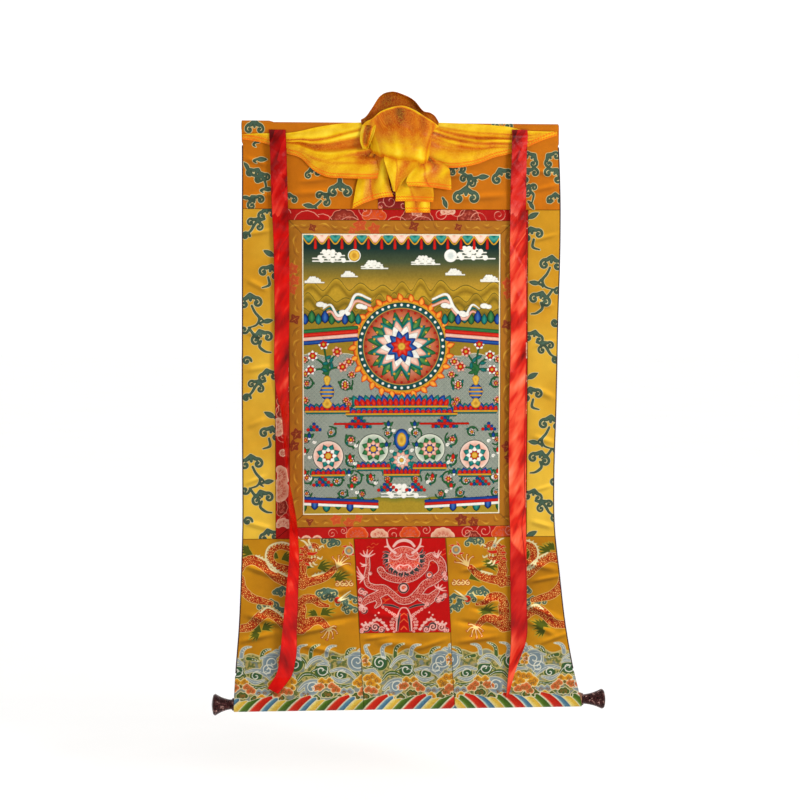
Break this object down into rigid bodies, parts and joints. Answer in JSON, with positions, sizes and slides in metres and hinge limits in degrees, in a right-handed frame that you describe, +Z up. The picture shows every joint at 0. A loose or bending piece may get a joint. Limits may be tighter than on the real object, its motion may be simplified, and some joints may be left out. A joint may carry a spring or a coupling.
{
  "type": "thangka scroll painting on a top rod and a bottom roller",
  "caption": "Hanging scroll painting in mitred brocade borders, with a gathered silk cover, two satin ribbons, a top rod and a knobbed roller.",
  "frame": {"origin": "middle of the hanging's top edge, where it hangs", "axes": "+Z up, +X to the right of the picture, the picture faces -Y"},
  "size_m": [0.8476, 0.0784, 1.3174],
  "materials": {
    "gold_brocade": "satin weave with raised cloud figures",
    "dragon_brocade": "satin weave with dragons, waves and slanted stripes",
    "red_brocade": "satin weave with scrolling pale lines",
    "border_gold": "satin weave with tonal flowers",
    "door_brocade": "bright red figured satin",
    "canvas": "painted cotton, matte",
    "maroon_piping": "dark plain cloth",
    "yellow_silk": "glossy figured silk with a zigzag hem",
    "red_satin": "glossy satin ribbon",
    "wood": "plain turned wood",
    "bronze": "dark engraved bronze"
  },
  "bodies": {
    "root": {"top_rod": "wood", "bottom_roller": "wood", "knob_left": "bronze", "knob_right": "bronze", "top_panel": "gold_brocade", "side_panel_left": "gold_brocade", "side_panel_right": "gold_brocade", "lower_panel_left": "dragon_brocade", "lower_panel_middle": "dragon_brocade", "lower_panel_right": "dragon_brocade", "door_panel": "door_brocade", "upper_patch": "red_brocade", "painting_canvas": "canvas", "edge_piping_left": "maroon_piping", "edge_piping_right": "maroon_piping", "silk_cover": "yellow_silk", "ribbon_left": "red_satin", "ribbon_right": "red_satin", "red_border_top": "red_brocade", "gold_border_top": "border_gold", "red_border_bottom": "red_brocade", "gold_border_bottom": "border_gold", "red_border_left": "red_brocade", "gold_border_left": "border_gold", "red_border_right": "red_brocade", "gold_border_right": "border_gold"}
  },
  "joints": []
}
